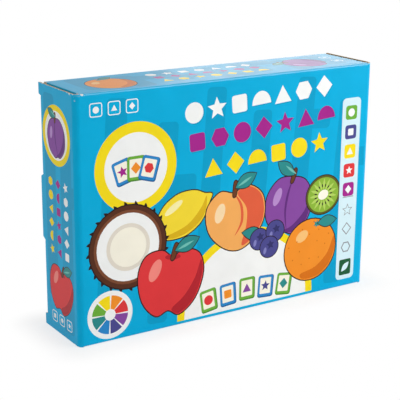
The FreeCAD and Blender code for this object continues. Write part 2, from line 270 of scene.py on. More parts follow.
def shape_row(ink, kinds, x, y, pitch, radius, angle=0):
    """A row of plain figures about a middle point, with a darker edge to the lower right."""
    layers = []
    for k, kind in enumerate(kinds):
        spot_x, spot_y = turned([((k - (len(kinds) - 1) / 2) * pitch, 0)], x, y, 1, angle)[0]
        figure = simple_shape(kind, 0, 0, radius)
        layers.append(("sky shade", turned(figure, spot_x + radius / 9, spot_y - radius / 9, 1.04, angle)))
        layers.append((ink, turned(figure, spot_x, spot_y, 1, angle)))
    return layers


def picture_tile(colour, kind, fill, x, y, size=1, angle=0):
    layers = [(colour + " shade", slab(0, 0, 21, 26, 3)), (colour, slab(-0.4, 0.6, 19.6, 24.4, 2.6))]
    layers += [("cream", slab(-0.4, 0.6, 14.6, 18.6, 1)), (fill, simple_shape(kind, -0.4, 0.6, 5.6))]
    return placed(layers, x, y, size, angle)


def ringed_disc(x, y, radius, ring, steps=64, sweep=360):
    rings = ("yellow", radius), ("white", radius - ring)
    return [(ink, oval(x, y, reach, reach, 0, steps, sweep)) for ink, reach in rings]


def outline_icon(kind, x, y, size=14):
    square = [("white", slab(x, y, size, size, 2.5)), ("sky", slab(x, y, size - 2, size - 2, 1.7))]
    return square + [("white", simple_shape(kind, x, y, size * 0.24))]


def tonal_bars(wide, high, count, lean):
    """Faint darker bars across the ground, some upright and some level."""
    layers = []
    for k in range(count):
        x = wide * ((k + 0.5) / count - 0.5)
        layers.append(("sky shade", slab(x, high * 0.06 * (-1) ** k, 24, high * 0.86, 5, lean)))
        level = high * (0.3 - 0.2 * (k % 4))
        layers.append(("sky shade", slab(x + wide / count * 0.3, level, 46, 22, 5, lean)))
    return layers


def pinwheel(x, y, radius):
    vanes = ("red", "orange", "yellow", "green", "leaf", "blue", "indigo", "plum")
    layers = [("white", oval(x, y, radius, radius, steps=48))]
    for k, ink in enumerate(vanes):
        vane = [(0, 0)] + oval(0, 0, 0.8 * radius, 0.8 * radius, 0, 6, 40)
        layers.append((ink, turned(vane, x, y, 1, 45 * k)))
    return layers + [("white", oval(x, y, radius * 0.24, radius * 0.24, steps=20))]


def icon_strip(x, y, wide, high):
    """A pale strip with five coloured icons, three outlined ones and a dark one."""
    layers = [("veil", slab(x, y, wide, high, 5))]
    step = high / 9.6
    for k, ink in enumerate(("green", "indigo", "yellow", "red", "magenta")):
        spot = x, y + high / 2 - step * (k + 0.75)
        layers += [(ink, slab(*spot, 16, 16, 3)), ("white", simple_shape(k, *spot, 4.6))]
    layers.append(("grey", slab(x, y - step * 0.35, wide * 0.6, 0.9, 0.4)))
    for k in range(3):
        spot = x, y - step * (k + 1.05)
        layers += [("grey", simple_shape(k + 3, *spot, 7)), ("veil", simple_shape(k + 3, *spot, 5.4))]
    foot = y - step * 4.15
    return layers + [("dark green", slab(x, foot, 17, 19, 2)), ("veil", leaf(x - 5, foot - 5, 15, 7, 45))]


def front_art():
    layers = tonal_bars(350, 250, 6, -4) + ringed_disc(20, -126, 90, 9, 48, 180)
    for k, fill in enumerate(("red", "orange", "plum", "indigo", "leaf")):
        out = k - 2
        colour = ("green", "blue")[k % 2]
        layers += picture_tile(colour, k, fill, 20 + 25 * out, -106 - 2 * abs(out), 1, -4 * out)
    layers += ringed_disc(-118, 50, 47, 11)
    for k, fill in enumerate(("magenta", "orange", "red")):
        out = k - 1
        colour = ("blue", "green")[k % 2]
        layers += picture_tile(colour, k + 3, fill, -118 + 15 * out, 49 - 2 * abs(out), 1, -16 * out)
    layers += shape_row("white", (0, 3, 1, 6, 2, 5, 4), 34, 104, 28, 11, 4)
    layers += shape_row("magenta", (1, 5, 0, 4, 3, 2, 6), 38, 73, 28, 11, 4)
    layers += shape_row("yellow", (2, 4, 6, 1, 0, 3), 44, 42, 28, 11, 4)
    layers += placed(lemon(), -64, -8, 0.95, 24) + placed(plum(), 74, -18, 0.95, -8)
    layers += placed(peach(), 4, -22, 1.0, 6) + placed(coconut(), -128, -32, 1.05)
    layers += placed(apple(), -78, -78, 1.05, -6) + placed(orange(), 106, -76, 1.0, -10)
    layers += placed(kiwi(), 122, -14, 0.8, 15) + placed(blueberries(), 46, -52, 1.0, 8)
    layers += icon_strip(158, -14, 26, 214) + pinwheel(-150, -101, 26)
    for k in range(3):
        layers += outline_icon(2 * k, -162 + 20 * k, 113)
    return layers


def top_art():
    layers = tonal_bars(350, 70, 7, 0)
    layers += placed(orange(), -126, -4, 0.72, 14) + placed(plum(), 118, -2, 0.7, 60)
    for k, ink in enumerate(("white", "magenta", "yellow")):
        layers += shape_row(ink, [k + n for n in (0, 3, 1, 5, 2, 6, 4)], -8, 17 - 17 * k, 20, 6)
    return layers + outline_icon(3, 160, 14, 12) + outline_icon(5, 160, -8, 12)


def back_art():
    layers = tonal_bars(350, 250, 6, 4)
    layers += [("white", slab(0, -10, 268, 196, 8)), ("cream", slab(0, -10, 260, 188, 6))]
    fills = ("red", "orange", "plum", "indigo", "leaf", "magenta", "stem")
    for row in range(4):
        for column in range(8):
            colour, kind = ("green", "blue")[column // 4], row * 3 + column * 5
            layers += picture_tile(colour, kind, fills[kind % 7], 31 * (column - 3.5), 57 - 45 * row, 1.35)
    layers += shape_row("white", (4, 1, 0, 3, 6), -60, 109, 22, 8)
    layers += shape_row("yellow", (2, 5, 1, 0, 4), 68, 109, 22, 8)
    return layers + placed(apple(), -152, -84, 0.66, 10) + placed(lemon(), 152, -92, 0.6, 40)


def tidy_polygon(points):
    """The outline without points that lie on each other."""
    return [p for p, q in zip(points, points[1:] + points[:1]) if math.dist(p, q) > 1e-3]


class Sheet:
    """A flat printed blank, cut up along its motifs and fold lines, to be folded into place."""

    def __init__(self, outline, layers=(), folds=(), ground="sky"):
        corners, faces, edges = [], [], []
        for points in [outline] + [points for ink, points in layers]:
            points = anticlockwise(tidy_polygon(points))
            faces.append(list(range(len(corners), len(corners) + len(points))))
            corners += [Vector(p) for p in points]
        for ends in folds:
            edges.append((len(corners), len(corners) + 1))
            corners += [Vector(p) for p in ends]
        inks = [ground] + [ink for ink, points in layers]
        triangles_inside, merge_distance = 1, 1e-4
        found = delaunay_2d_cdt(corners, edges, faces, triangles_inside, merge_distance)
        self.corners = found[0]
        self.faces = [(face, inks[max(over)]) for face, over in zip(found[2], found[5]) if 0 in over]

    def lay(self, mesh, place, across, depths, slots):
        """Adds the sheet to a bmesh as a solid between two depths under the outer face.

        place gives the position of a point at a depth, and across is the point's coordinate that crosses the
        flutes. slots are the material slots of the face, the back and the edge."""
        on_verts, on_loops = mesh.verts.layers, mesh.loops.layers
        rest = on_verts.float_vector.get("rest") or on_verts.float_vector.new("rest")
        flute = on_verts.float.get("flute") or on_verts.float.new("flute")
        colour = on_loops.float_color.get("ink") or on_loops.float_color.new("ink")
        used = sorted({k for face, ink in self.faces for k in face})
        sides = []
        for depth in depths:
            sides.append({k: mesh.verts.new(place(self.corners[k], depth)) for k in used})
            for k, vert in sides[-1].items():
                vert[rest] = place(self.corners[k], 0)
                vert[flute] = self.corners[k][across] * MM
        face_side, back_side = sides
        rims = set()
        for face, ink in self.faces:
            rims.update(zip(face, face[1:] + face[:1]))
            made = [
                mesh.faces.new([face_side[k] for k in face]),
                mesh.faces.new([back_side[k] for k in face[::-1]])]
            for part, slot in zip(made, slots):
                part.material_index = slot
                for loop in part.loops:
                    loop[colour] = linear(INKS[ink])
        for a, b in sorted(edge for edge in rims if edge[::-1] not in rims):
            rim = mesh.faces.new([face_side[b], face_side[a], back_side[a], back_side[b]])
            rim.material_index = slots[2]


class FoldedLine:
    """A line of straights joined by round bends. Its left-hand side is the outer face of the board."""

    def __init__(self, corners, radius):
        corners = [Vector(c) for c in corners]
        self.radius, self.length = radius, 0.0
        self.stretches, self.bends, self.middles = [], [], []
        start = corners[0]
        for before, corner, after in zip(corners, corners[1:], corners[2:] + [None]):
            ahead = (corner - before).normalized()
            onward = (after - corner).normalized() if after else ahead
            turn = ahead.angle_signed(onward)
            trim = radius * math.tan(abs(turn) / 2)
            stop = corner - trim * ahead
            self.middles.append(self.length + ((before + corner) / 2 - start).dot(ahead))
            self.add((stop - start).length, start, ahead, 0)
            if after:
                self.bends.append((self.length, self.length + radius * abs(turn)))
                self.add(radius * abs(turn), stop, ahead, 1 if turn > 0 else -1)
                start = corner + trim * onward

    def add(self, length, start, ahead, way):
        self.stretches.append((self.length, start, ahead, way))
        self.length += length

    def at(self, distance, depth):
        """The point at a distance along the line and a depth under the outer face."""
        begin, start, ahead, way = [s for s in self.stretches if s[0] <= distance + 1e-9][-1]
        run, outside = distance - begin, Vector((-ahead.y, ahead.x))
        if not way:
            return start + run * ahead - depth * outside
        angle = run / self.radius
        spoke = math.cos(angle) * way * outside + math.sin(angle) * ahead
        return start + self.radius * (spoke - way * outside) - depth * way * spoke

    def bend_spots(self, steps):
        """Distances at which the bends are cut into short facets."""
        return [low + (high - low) * k / steps for low, high in self.bends for k in range(steps + 1)]

    def fold_lines(self, reach):
        """Lines across the blank where it bends, in millimetres."""
        return [((-reach, s / MM), (reach, s / MM)) for s in self.bend_spots(5)]


class Wire:
    """One socket of a node tree. Sums on it add the nodes that work them out."""

    def __init__(self, tree, socket=None):
        self.tree, self.socket = tree, socket

    def add(self, kind, inputs=None, settings=None, out=0):
        node = self.tree.nodes.new(kind if "Node" in kind else "ShaderNode" + kind)
        for name, setting in (settings or {}).items():
            setattr(node, name, setting)
        for name, value in (inputs or {}).items():
            if isinstance(value, Wire):
                self.tree.links.new(value.socket, node.inputs[name])
            else:
                node.inputs[name].default_value = value
        return Wire(self.tree, node.outputs[out] if node.outputs else None)

    def maths(self, operation, first, second=0.0):
        return self.add("Math", {0: first, 1: second}, {"operation": operation})

    def __add__(self, other):
        return self.maths("ADD", self, other)

    def __sub__(self, other):
        return self.maths("SUBTRACT", self, other)

    def __rsub__(self, other):
        return self.maths("SUBTRACT", other, self)

    def __mul__(self, other):
        return self.maths("MULTIPLY", self, other)

    def __truediv__(self, other):
        return self.maths("DIVIDE", self, other)

    __radd__, __rmul__ = __add__, __mul__

    def least(self, other):
        return self.maths("MINIMUM", self, other)

    def most(self, other):
        return self.maths("MAXIMUM", self, other)

    def part(self, axis):
        return self.add("SeparateXYZ", {0: self}, out=axis)

    def vector(self, x, y, z):
        return self.add("CombineXYZ", {0: x, 1: y, 2: z})

    def noise(self, scale, detail=3.0, stretch=None):
        place = self if stretch is None else self.add("Mapping", {"Vector": self, "Scale": stretch})
        return self.add("TexNoise", {"Vector": place, "Scale": scale, "Detail": detail})

    def step(self, low, high):
        """Rises smoothly from 0 at low to 1 at high."""
        sockets = {"Value": self, "From Min": low, "From Max": high}
        return self.add("MapRange", sockets, {"interpolation_type": "SMOOTHSTEP"})

    def mix(self, first, second):
        """The first colour where this is 0, the second where it is 1."""
        return self.add("Mix", {0: self, 6: first, 7: second}, {"data_type": "RGBA"}, out=2)

    def times(self, colour):
        """A colour made darker or lighter by this value."""
        return self.add("VectorMath", {0: colour, "Scale": self}, {"operation": "SCALE"})

    def bump(self):
        """A normal from this height in metres."""
        return self.add("Bump", {"Height": self, "Distance": 1.0})


def new_finish(name, specular):
    """A material, a wire to build its nodes on, and a function that feeds its shader."""
    material = bpy.data.materials.new(name)
    material.use_nodes = True
    shader = material.node_tree.nodes["Principled BSDF"]
    shader.inputs["Specular IOR Level"].default_value = specular

    def feed(socket, wire):
        material.node_tree.links.new(wire.socket, shader.inputs[socket])
    return material, Wire(material.node_tree), feed


def attribute(wire, name, out):
    return wire.add("Attribute", settings={"attribute_name": name}, out=out)


def box_edge_distances(rest):
    """How far a point of the closed box lies from its nearest edge and its nearest corner."""
    x = half_width - rest.maths("ABSOLUTE", rest.part(0))
    y = half_depth - rest.maths("ABSOLUTE", rest.part(1))
    z = height / 2 - rest.maths("ABSOLUTE", rest.part(2) - height / 2)
    return x.least(y).most(x.most(y).least(z)), x.most(y).most(z)


def flute_ribs(wire):
    return wire.maths("COSINE", attribute(wire, "flute", "Fac") * (2 * math.pi / flute_pitch))


def gloss_print():
    """Print under a gloss film, tightest and shiniest over the front top fold. Corners are rubbed white."""
    material, wire, feed = new_finish("gloss_print", 0.08)
    rest, ink = attribute(wire, "rest", "Vector"), attribute(wire, "ink", "Color")
    edge, corner = box_edge_distances(rest)
    patches = rest.noise(260.0, 5.0)
    lift = 0.4 + 0.6 * rest.part(2).step(0.0, 0.1)
    spared = rest.part(0).step(0.0, 0.12).most(rest.part(1).step(0.0, 0.03))
    reach = (0.0004 + 0.0016 * (1 - corner.step(0.004, 0.02))) * lift * (1 - 0.7 * spared)
    worn = (1 - (edge / reach).step(0.5, 1.6)) * patches.step(0.52, 0.62)
    mottle = rest.noise(45.0, 4.0)
    feed("Base Color", worn.mix((0.94 + 0.12 * mottle).times(ink), linear("#EFEBE2")))
    feed("Roughness", 0.26 + 0.1 * mottle + 0.35 * worn)
    crease = (height - rest.part(2)).most(rest.part(1) + half_depth)
    feed("Coat Weight", 1 - crease.step(0.0016, 0.0026))
    waves, peel = rest.noise(9.0, 1.0), rest.noise(2200.0, 2.0)
    feed("Normal", (flute_ribs(wire) * 4e-6 + waves * 9e-4 + peel * 6e-6 - worn * 4e-5).bump())
    return material


def kraft_liner():
    """Bare brown paper with long fibres, dark specks and the flutes showing as faint ribs."""
    material, wire, feed = new_finish("kraft_liner", 0.2)
    rest = attribute(wire, "rest", "Vector")
    fibres = rest.noise(650.0, 6.0, (1.0, 1.0, 0.55))
    specks = rest.noise(1500.0, 1.0).step(0.68, 0.74)
    tone = (0.4 * fibres + 0.6 * rest.noise(26.0, 3.0)).step(0.3, 0.7)
    brown = tone.mix(linear("#B0865A"), linear("#C59B6B"))
    feed("Base Color", (specks * 0.5).mix(brown, linear("#6E4C2C")))
    feed("Roughness", 0.78 + 0.14 * fibres)
    feed("Normal", (flute_ribs(wire) * 2.2e-5 + fibres * 4e-5).bump())
    return material


def raw_board():
    """Cut edges and fluted paper of the board: torn fibres, cream on tan."""
    material, wire, feed = new_finish("raw_board", 0.15)
    fibres = attribute(wire, "rest", "Vector").noise(900.0, 5.0)
    feed("Base Color", fibres.step(0.3, 0.7).mix(linear("#C6AE8E"), linear("#F2E8D8")))
    feed("Roughness", 0.85 + 0.1 * fibres)
    feed("Normal", (fibres * 1.2e-4).bump())
    return material


PRINTED, KRAFT, RAW = 0, 1, 2
board_finishes = (gloss_print(), kraft_liner(), raw_board())
board_slots = (PRINTED, KRAFT, RAW)
sharp_angle = math.radians(35)


def new_piece(name, mesh, materials):
    """A bmesh as an object at the origin, smooth but for its sharp edges."""
    data = bpy.data.meshes.new(name)
    mesh.to_mesh(data)
    mesh.free()
    for material in materials:
        data.materials.append(material)
    data.shade_smooth()
    data.set_sharp_from_angle(angle=sharp_angle)
    piece = bpy.data.objects.new(name, data)
    bpy.context.scene.collection.objects.link(piece)
    return piece


girth = FoldedLine([
    (half_depth - board, glue_flap_high.z), (half_depth - board, 0), (-half_depth, 0), (-half_depth, height),
    (half_depth, height), (half_depth, 0)], fold_radius)
bottom_middle, front_middle, top_middle, back_middle = [m / MM for m in girth.middles[1:]]
front_reach, sleeve_reach, notch_reach = [v / MM for v in (half_width - soft_fold, raw_end, dust_notch)]


def cover_side(middle, onward, rear):
    """Right edge of the top or bottom with the notch for its dust flap, in the order that the sheet runs."""
    front_corner = (dust_low.y - dust_slit) / MM
    rear_corner = (dust_high.y + dust_slit) / MM
    run = (half_depth - fold_radius) / MM + front_corner
    edge = oval(front_reach, front_corner, sleeve_reach - front_reach, run, 0, 6, -90)[::-1]
    edge += [(notch_reach, front_corner), (notch_reach, rear_corner), (sleeve_reach, rear_corner)]
    edge.append((sleeve_reach, rear / MM))
    return [(u, middle + onward * v) for u, v in edge][::onward]


glue_reach = glue_flap_high.x / MM
glue_foot = girth.bends[0][1] / MM
right_side = [(glue_reach - glue_taper / MM, 0), (glue_reach, glue_foot)]
right_side += cover_side(bottom_middle - board / 2 / MM, -1, half_depth - board - fold_radius)
right_side += [(front_reach, girth.bends[1][1] / MM), (front_reach, girth.bends[2][0] / MM)]
right_side += cover_side(top_middle, 1, half_depth - fold_radius) + [(sleeve_reach, girth.length / MM)]
sleeve_outline = right_side + [(-u, s) for u, s in reversed(right_side)]
sleeve_art = placed(front_art(), 0, front_middle) + placed(top_art(), 0, top_middle)
sleeve_art += placed(back_art(), 0, back_middle, 1, 180) + placed(tonal_bars(350, 70, 5, 0), 0, bottom_middle)


def round_the_box(point, depth):
    y, z = girth.at(point.y * MM, depth)
    return Vector((point.x * MM, y, z))


sleeve_mesh = bmesh.new()
sleeve_sheet = Sheet(sleeve_outline, sleeve_art, girth.fold_lines(sleeve_reach))
sleeve_sheet.lay(sleeve_mesh, round_the_box, 0, (0, board), board_slots)
sleeve = new_piece("printed_sleeve", sleeve_mesh, board_finishes)
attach(sleeve, "box")
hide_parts("front_panel", "top_panel", "back_panel", "bottom_panel", "glue_flap")

# Ends of the box
# Each end panel runs out of the front panel round a soft fold. Its tuck flap slips in behind the back panel.
# Two ears and a pull tab stay flat, and a dust flap folds in under it from the top and from the bottom.

ear_height, ear_bevel = 13 * MM, 1.5 * MM
tab_height, tab_bevel = 65 * MM, 3 * MM
tab_low, tab_high = (height - tab_height) / 2, (height + tab_height) / 2
tuck_fold, tuck_slit, tuck_corner, tuck_length = 2.4 * MM, 1 * MM, 7 * MM, 16 * MM
tuck_lean = math.radians(15)
dust_fold, dust_crush, dust_tip_round = 0.8 * MM, 1.1 * MM, 4 * MM
dust_front_taper, dust_rear_taper = 33 * MM, 12 * MM
liner, glue_line = 0.4 * MM, 0.02 * MM
flute_view, flute_paper = 1.5 * MM, 0.25 * MM
joints = {joint["name"]: joint for joint in frame["joints"]}


def node_group(name, inputs):
    """An empty geometry node tree and wires to its named inputs."""
    tree = bpy.data.node_groups.new(name, "GeometryNodeTree")
    for label, kind in inputs.items():
        tree.interface.new_socket(label, in_out="INPUT", socket_type="NodeSocket" + kind)
    tree.interface.new_socket("Geometry", in_out="OUTPUT", socket_type="NodeSocketGeometry")
    start = tree.nodes.new("NodeGroupInput")
    return tree, Wire(tree), {label: Wire(tree, start.outputs[label]) for label in inputs}


def close_group(wire, shape, material):
    """Ends a geometry node tree: real meshes, with their material."""
    real = wire.add("GeometryNodeRealizeInstances", {0: shape})
    wire.add("NodeGroupOutput", {0: wire.add("GeometryNodeSetMaterial", {0: real, "Material": material})})


def fluted_strip():
    """Geometry nodes for a strip of paper pressed into waves: X along the edge, Y into the board."""
    tree, wire, given = node_group("fluted_paper", {
        "Length": "Float", "Pitch": "Float", "Rise": "Float", "Depth": "Float", "Points": "Int",
        "Paper": "Material"})
    end = wire.vector(given["Length"], 0.0, 0.0)
    line = wire.add("GeometryNodeMeshLine", {"Count": given["Points"], "Offset": end}, {"mode": "END_POINTS"})
    along = wire.add("GeometryNodeInputPosition").part(0)
    rise = wire.maths("SINE", along * (2 * math.pi) / given["Pitch"]) * given["Rise"] * 0.5
    waves = wire.add("GeometryNodeSetPosition", {"Geometry": line, "Offset": wire.vector(0.0, 0.0, rise)})
    inwards = wire.vector(0.0, given["Depth"], 0.0)
    strip = wire.add("GeometryNodeExtrudeMesh", {"Mesh": waves, "Offset": inwards}, {"mode": "EDGES"})
    close_group(wire, strip, given["Paper"])
    return tree


def grown(tree, values, wall=0.0):
    """A plain mesh from a geometry node tree and its named values, with a wall thickness if it needs one."""
    seed = bpy.data.objects.new("seed", bpy.data.meshes.new("seed"))
    bpy.context.scene.collection.objects.link(seed)
    nodes = seed.modifiers.new("nodes", "NODES")
    nodes.node_group = tree
    for item in tree.interface.items_tree:
        if item.in_out == "INPUT":
            nodes[item.identifier] = values[item.name]
    if wall:
        seed.modifiers.new("wall", "SOLIDIFY").thickness = wall
    depsgraph = bpy.context.evaluated_depsgraph_get()
    mesh = bpy.data.meshes.new_from_object(seed.evaluated_get(depsgraph))
    bpy.data.objects.remove(seed)
    return mesh


def add_mesh(mesh, extra, matrix, slot):
    """Adds a plain mesh to a bmesh, moved by a matrix."""
    rest = mesh.verts.layers.float_vector["rest"]
    verts = [mesh.verts.new(matrix @ v.co) for v in extra.vertices]
    for vert in verts:
        vert[rest] = vert.co
    for face in extra.polygons:
        order = list(face.vertices)[::1 if matrix.determinant() > 0 else -1]
        mesh.faces.new([verts[k] for k in order]).material_index = slot


FLUTED_STRIP = fluted_strip()


def flute_edge(mesh, start, along, inwards, length):
    """Open flutes along a cut edge: along may lean, so that the strip follows a slanted edge."""
    points_per_wave = 10
    waves = grown(FLUTED_STRIP, {
        "Length": length - 2 * flute_paper, "Pitch": flute_pitch, "Rise": board - 2 * liner - flute_paper,
        "Depth": flute_view, "Points": int(length / flute_pitch * points_per_wave),
        "Paper": board_finishes[RAW]}, flute_paper)
    matrix = Matrix((along, inwards, (1, 0, 0))).transposed().to_4x4()
    matrix.translation = Vector(start) + flute_paper * Vector(inwards) + flute_paper * Vector(along)
    add_mesh(mesh, waves, matrix, RAW)


def fluted_board(mesh, outline, core, layers, place, across):
    """Printed liner, kraft liner and, set back between them, the core that open flutes run into."""
    Sheet(outline, layers).lay(mesh, place, across, (0, liner), (PRINTED, RAW, RAW))
    core_depths = (liner + glue_line, board - liner - glue_line)
    Sheet(core).lay(mesh, place, across, core_depths, (RAW, RAW, RAW))
    Sheet(outline).lay(mesh, place, across, (board - liner, board), (RAW, KRAFT, RAW))


def board_piece(name, mesh, body, node):
    """A rigid piece of board that takes the place of one node of the frame."""
    piece = new_piece(name, mesh, board_finishes)
    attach(piece, body)
    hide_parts(node)


def bend_piece(name, mesh, start, end):
    """A bend of board between two bodies, baked where it lies and attached to neither."""
    piece = new_piece(name, mesh, board_finishes)
    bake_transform(piece)


def end_outline(front, rear, low):
    """Outline of an end panel as (y, z), with an ear at each end of its rear edge and a tab between them."""
    lower = [
        (front, low), (half_depth, low), (half_depth, ear_height - ear_bevel), (rear, ear_height),
        (rear, tab_low - tab_bevel), (half_depth, tab_low)]
    return lower + [(y, height - z) for y, z in reversed(lower)]


def end_art(fruits):
    top_fruit, low_fruit = fruits
    layers = tonal_bars(70, 250, 2, 0) + ringed_disc(-2, 82, 31, 6) + placed(top_fruit, -2, 80, 0.58, 8)
    for k, ink in enumerate(("white", "magenta", "yellow")):
        layers += shape_row(ink, [k + n for n in (1, 4, 2, 0, 5, 3)], 16 - 17 * k, -4, 14.5, 5, 90)
    layers += placed(low_fruit, 0, -80, 0.7, -10)
    for k, kind in enumerate((1, 5, 3)):
        layers += outline_icon(kind, 17 * (k - 1), -114, 12)
    return layers


def box_points(points, sign):
    """Points (y, z) in metres as seen from outside an end, in millimetres."""
    return [(sign * y / MM, z / MM) for y, z in points]


def end_board(side, sign, rear):
    front = -half_depth + soft_fold
    outline = box_points(end_outline(front, rear, 0), sign)
    core = box_points(end_outline(front, rear, flute_view), sign)
    fruits = (plum(), apple()) if sign < 0 else (peach(), lemon())
    mesh = bmesh.new()

    def place(point, depth):
        return Vector((sign * (half_width - depth), sign * point.x * MM, point.y * MM))
    fluted_board(mesh, outline, core, placed(end_art(fruits), 0, height / 2 / MM), place, 0)
    for z, inwards in ((0, (0, 0, 1)), (height, (0, 0, -1))):
        start = (sign * (half_width - board / 2), front, z)
        flute_edge(mesh, start, (0, 1, 0), inwards, half_depth - front)
    board_piece(f"{side}_end_board", mesh, f"{side}_end", f"{side}_end_panel")


def upright_bend(mesh, line, spans):
    """A bent strip of board that stands upright between each low and high z, along a line seen from above."""
    def place(point, depth):
        return Vector((*line.at(-point.x * MM, depth), point.y * MM))
    steps, width = 7, line.length / MM
    for low, high in [(low / MM, high / MM) for low, high in spans]:
        outline = [(-width, low), (0, low), (0, high), (-width, high)]
        folds = [((-width * k / steps, low), (-width * k / steps, high)) for k in range(1, steps)]
        Sheet(outline, (), folds).lay(mesh, place, 0, (0, board), board_slots)


def front_bend(side, sign):
    on_front = (sign * (half_width - soft_fold), -half_depth)
    on_end = (sign * half_width, -half_depth + soft_fold)
    corners = [on_front, (sign * half_width, -half_depth), on_end]
    mesh = bmesh.new()
    upright_bend(mesh, FoldedLine(corners[::-sign], soft_fold), [(0, height)])
    bend_piece(f"{side}_front_bend", mesh, (*on_front, 0), (*on_end, 0))


def tuck(side, sign):
    """The tuck flap and its bend to the end panel. Returns where the flat part of that panel stops."""
    root = Vector(joints[f"tuck_{side}_unfolds"]["pos_m"]).to_2d()
    inwards = Vector((-sign * math.cos(tuck_lean), -math.sin(tuck_lean)))
    outside = Vector((-sign * math.sin(tuck_lean), math.cos(tuck_lean)))
    face = root + board * outside
    corner = face + inwards * ((sign * half_width - face.x) / inwards.x)
    trim = tuck_fold * math.tan((math.pi / 2 + tuck_lean) / 2)
    rear, flat = corner - Vector((0, trim)), corner + trim * inwards
    low, high = ear_height + tuck_slit, height - ear_height - tuck_slit
    notch_low, notch_high = tab_low - tab_bevel - tuck_slit, tab_high + tab_bevel + tuck_slit
    notch = half_depth - root.y + tuck_slit
    start = (flat - face).dot(inwards)
    outline = [(start, low), (tuck_length - tuck_corner, low), (tuck_length, low + tuck_corner)]
    outline += [(tuck_length, high - tuck_corner), (tuck_length - tuck_corner, high), (start, high)]
    outline += [(start, notch_high), (notch, notch_high), (notch, notch_low), (start, notch_low)]
    mesh = bmesh.new()

    def place(point, depth):
        spot = face + sign * point.x * MM * inwards - depth * outside
        return Vector((*spot, point.y * MM))
    Sheet(box_points(outline, sign)).lay(mesh, place, 0, (0, board), board_slots)
    board_piece(f"{side}_tuck", mesh, f"{side}_tuck", f"{side}_tuck_flap")
    bend = bmesh.new()
    line = FoldedLine([rear, corner, flat][::-sign], tuck_fold)
    upright_bend(bend, line, [(low, notch_low), (notch_high, high)])
    bend_piece(f"{side}_tuck_bend", bend, (*rear, 0), (*flat, 0))
    return rear.y


def dust(side, sign, level):
    """A dust flap and its bend. Depths run from the fold, up on the bottom flap and down on the top one."""
    up, fold_z = (-1, height) if level == "top" else (1, 0)
    low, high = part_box(f"{side}_{level}_dust_flap")
    length = high.z - low.z
    foot, tip = board, length - dust_tip_round
    front_slope, rear_slope = dust_front_taper / length, dust_rear_taper / length

    def outline(setback):
        front, rear = low.y + setback, high.y - setback
        edge = [(front + front_slope * foot, foot), (front + front_slope * tip, tip)]
        edge += [(front + dust_front_taper + dust_tip_round, length)]
        edge += [(rear - dust_rear_taper - dust_tip_round, length)]
        edge += [(rear - rear_slope * tip, tip), (rear - rear_slope * foot, foot)]
        return box_points([(y, fold_z + up * depth) for y, depth in edge], sign)

    def place(point, depth):
        return Vector((sign * (raw_end - depth), sign * point.x * MM, point.y * MM))
    mesh = bmesh.new()
    fluted_board(mesh, outline(0), outline(flute_view), (), place, 1)
    middle_x = sign * (raw_end - board / 2)
    for y, lean, inwards in ((low.y, front_slope, (0, 1, 0)), (high.y, -rear_slope, (0, -1, 0))):
        start = (middle_x, y + lean * foot, fold_z + up * foot)
        flute_edge(mesh, start, (0, lean, up), inwards, tip - foot)
    board_piece(f"{side}_{level}_dust", mesh, f"{side}_{level}_dust", f"{side}_{level}_dust_flap")
    on_cover, on_flap = (sign * dust_notch, fold_z), (sign * raw_end, fold_z + up * foot)
    line = FoldedLine([on_flap, (sign * raw_end, fold_z), on_cover][::up * sign], dust_fold)
    width = line.length / MM
    front_edge, rear_edge = [-y / MM for y in (low.y + front_slope * foot, high.y - rear_slope * foot)]
    strip = [(front_edge, 0), (rear_edge, 0), (rear_edge, width), (front_edge, width)]

    def over(point, depth):
        x, z = line.at(point.y * MM, depth)
        return Vector((x, -point.x * MM, z))
    bend = bmesh.new()
    bend_sheet = Sheet(strip, (), line.fold_lines(half_depth / MM))
    bend_sheet.lay(bend, over, 1, (0, board - dust_crush), board_slots)
    bend_piece(
        f"{side}_{level}_dust_bend", bend,
        (on_cover[0], 0, on_cover[1]), (on_flap[0], 0, on_flap[1]))


for side, sign in (("left", -1), ("right", 1)):
    front_bend(side, sign)
    end_board(side, sign, tuck(side, sign))
    dust(side, sign, "top")
    dust(side, sign, "bottom")

# Wooden racks
# Two racks lie side by side in the box, each of two side boards, a slotted front rail, a back rail and four
# slats. They are sawn from beech, sanded, pinned and glued, and sealed with a matt lacquer.


def beech(name, along):
    """Beech with its grain along one axis: long pale and dark streaks, fine pores and short brown flecks."""
    material, wire, feed = new_finish(name, 0.35)
    place = wire.add("TexCoord", out="Object")
    grain = [0.06 if axis == along else 1.0 for axis in range(3)]
    fleck = [0.25 if axis == along else 1.0 for axis in range(3)]
    sway = place.noise(14.0, 2.0).times((0.02, 0.02, 0.02))
    bent = place.add("VectorMath", {0: place, 1: sway}, {"operation": "ADD"})
    rings = bent.noise(170.0, 3.0, grain)
    pores = place.noise(2600.0, 2.0, grain)
    flecks = place.noise(900.0, 1.0, fleck).step(0.66, 0.72)
    tone = (0.75 * rings + 0.25 * place.noise(30.0, 2.0)).step(0.34, 0.68)
    wood = tone.mix(linear("#C99863"), linear("#E5C294"))
    feed("Base Color", (flecks * 0.45).mix((0.86 + 0.28 * pores).times(wood), linear("#8E5F38")))
    feed("Roughness", 0.46 + 0.16 * rings - 0.08 * flecks)
    feed("Normal", (pores * 3e-5 + rings * 4e-5).bump())
    return material


def repaint(name, material):
    """Gives a piece of the frame a new finish."""
    node = frame["nodes"][name]
    node.data.materials.clear()
    node.data.materials.append(material)


grain_up, grain_across = beech("beech_side_boards", 2), beech("beech_rails", 0)
for colour in ("green", "blue"):
    for part in ("left_side", "right_side"):
        repaint(f"{colour}_rack_{part}", grain_up)
    for part in ("front_rail", "back_rail", "slats"):
        repaint(f"{colour}_rack_{part}", grain_across)

# Hinge rods
# Eight lengths of cold-drawn steel wire, one for each row of tiles, pushed through the racks' side boards.
# Drawing leaves fine scratches along the wire, and handling leaves dull patches.


